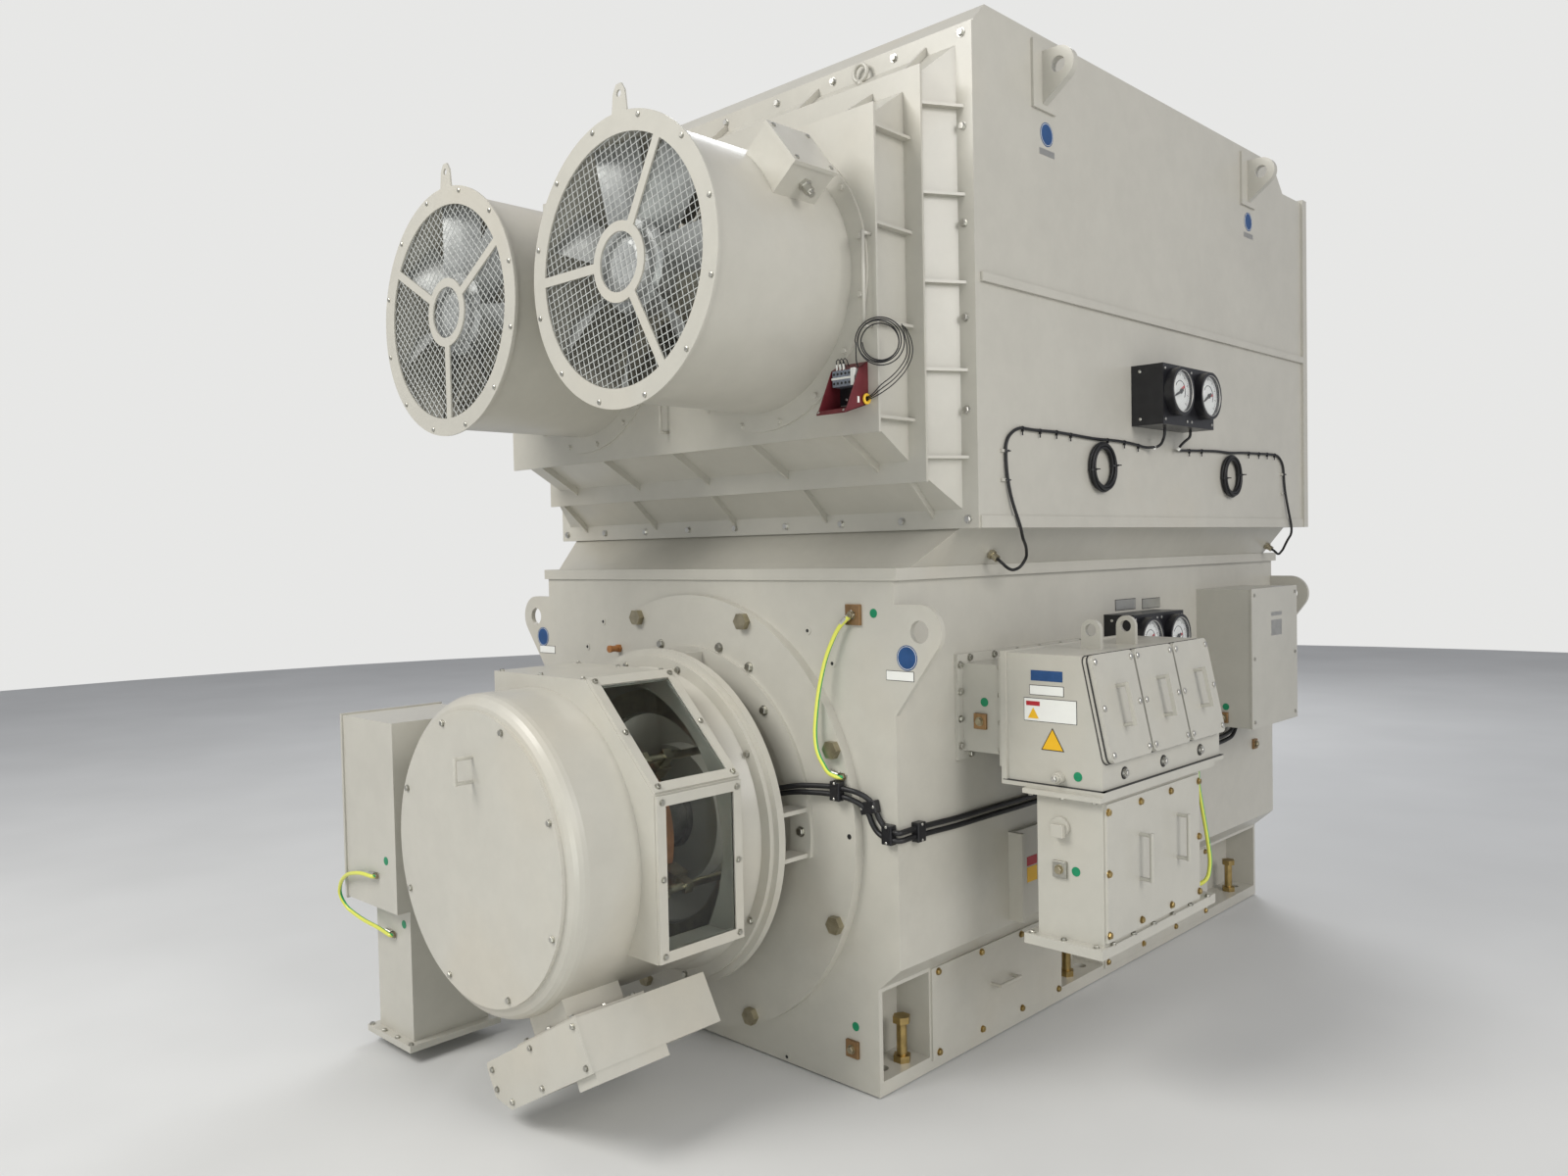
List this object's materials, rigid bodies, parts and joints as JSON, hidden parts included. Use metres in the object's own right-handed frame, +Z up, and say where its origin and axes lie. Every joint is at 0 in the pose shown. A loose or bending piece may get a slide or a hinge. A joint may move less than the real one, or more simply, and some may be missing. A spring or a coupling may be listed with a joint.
{
  "type": "high-voltage induction motor",
  "caption": "Foot-mounted wound-rotor induction motor with a slip-ring housing, side terminal boxes and a top-mounted air-to-air cooler with two axial fans.",
  "frame": {"origin": "on the foot plane, below the shaft axis, midway between the end foot holes", "axes": "+X to the main terminal box side, +Y along the shaft to the drive end, +Z up"},
  "size_m": [2.3479, 3.914, 2.958],
  "materials": {
    "frame_paint": "semi-gloss paint",
    "dark_steel": "oiled steel",
    "zinc_steel": "zinc plated",
    "core_steel": "laminated, varnished",
    "copper": "varnished copper winding",
    "bearing_steel": "ground",
    "carbon": "pressed carbon",
    "pane": "clear",
    "insulator": "cast resin",
    "black_box": "moulded",
    "pointer": "painted",
    "fan_blade": "moulded",
    "tube_metal": "rolled",
    "black_lead": "sheathed",
    "earth_lead": "green and yellow sheath"
  },
  "bodies": {
    "frame": {"frame_end_plates": "frame_paint", "frame_side_sheets": "frame_paint", "frame_bottom_pan": "frame_paint", "frame_core_plates": "frame_paint", "frame_top_flange": "frame_paint", "foot_rails": "frame_paint", "jacking_bolts": "dark_steel", "access_covers": "frame_paint", "stator_core": "core_steel", "stator_winding": "copper", "nde_end_shield": "frame_paint", "de_end_shield": "frame_paint", "shield_bolts": "frame_paint", "bearing_housings": "frame_paint", "bearing_outer_rings": "bearing_steel", "brush_gear": "zinc_steel", "carbon_brushes": "carbon", "lantern_ring": "frame_paint", "slip_ring_housing": "frame_paint", "housing_end_cover": "frame_paint", "window_frames": "frame_paint", "window_panes": "pane", "filter_box": "frame_paint", "filter_cover": "frame_paint", "rotor_terminal_box": "frame_paint", "flat_box_covers": "frame_paint", "rotor_cable_duct": "frame_paint", "terminal_adapter": "frame_paint", "main_terminal_box": "frame_paint", "sloping_covers": "frame_paint", "phase_bushings": "insulator", "main_cable_box": "frame_paint", "cable_box_cover": "frame_paint", "gland_plates": "frame_paint", "aux_terminal_box": "frame_paint", "cooler_collar": "frame_paint", "cooler_casing": "frame_paint", "cooler_tube_bundle": "tube_metal", "inlet_hood": "frame_paint", "fan_ducts": "frame_paint", "fan_guards": "frame_paint", "fan_motors": "frame_paint", "fan_junction_boxes": "frame_paint", "gauge_boxes": "black_box", "instrument_leads": "black_lead", "lead_coils": "black_lead", "earth_leads": "earth_lead"},
    "rotor": {"shaft": "dark_steel", "shaft_fans": "dark_steel", "rotor_core": "core_steel", "rotor_winding": "copper", "bearing_inner_rings": "bearing_steel", "slip_ring_hub": "insulator", "slip_rings": "copper"},
    "fan_left": {"impeller_left": "fan_blade"},
    "fan_right": {"impeller_right": "fan_blade"},
    "pointer_1": {"gauge_pointer_1": "pointer"},
    "pointer_2": {"gauge_pointer_2": "pointer"},
    "pointer_3": {"gauge_pointer_3": "pointer"},
    "pointer_4": {"gauge_pointer_4": "pointer"}
  },
  "joints": [
    {"name": "rotor_spin", "type": "hinge", "parent": "frame", "child": "rotor", "pos_m": [0, 0, 0.71], "axis": [0, 1, 0], "continuous": true},
    {"name": "fan_left_spin", "type": "hinge", "parent": "frame", "child": "fan_left", "pos_m": [-0.412, -1.8, 2.238], "axis": [0, 1, 0], "continuous": true},
    {"name": "fan_right_spin", "type": "hinge", "parent": "frame", "child": "fan_right", "pos_m": [0.412, -1.8, 2.238], "axis": [0, 1, 0], "continuous": true},
    {"name": "pointer_1_turn", "type": "hinge", "parent": "frame", "child": "pointer_1", "pos_m": [1.069, -0.151, 1.9845], "axis": [-1, 0, 0], "range_deg": [-25, 235]},
    {"name": "pointer_2_turn", "type": "hinge", "parent": "frame", "child": "pointer_2", "pos_m": [1.069, 0.051, 1.9845], "axis": [-1, 0, 0], "range_deg": [-25, 235]},
    {"name": "pointer_3_turn", "type": "hinge", "parent": "frame", "child": "pointer_3", "pos_m": [0.916, -0.066, 1.1865], "axis": [-1, 0, 0], "range_deg": [-25, 235]},
    {"name": "pointer_4_turn", "type": "hinge", "parent": "frame", "child": "pointer_4", "pos_m": [0.916, 0.136, 1.1865], "axis": [-1, 0, 0], "range_deg": [-25, 235]}
  ]
}
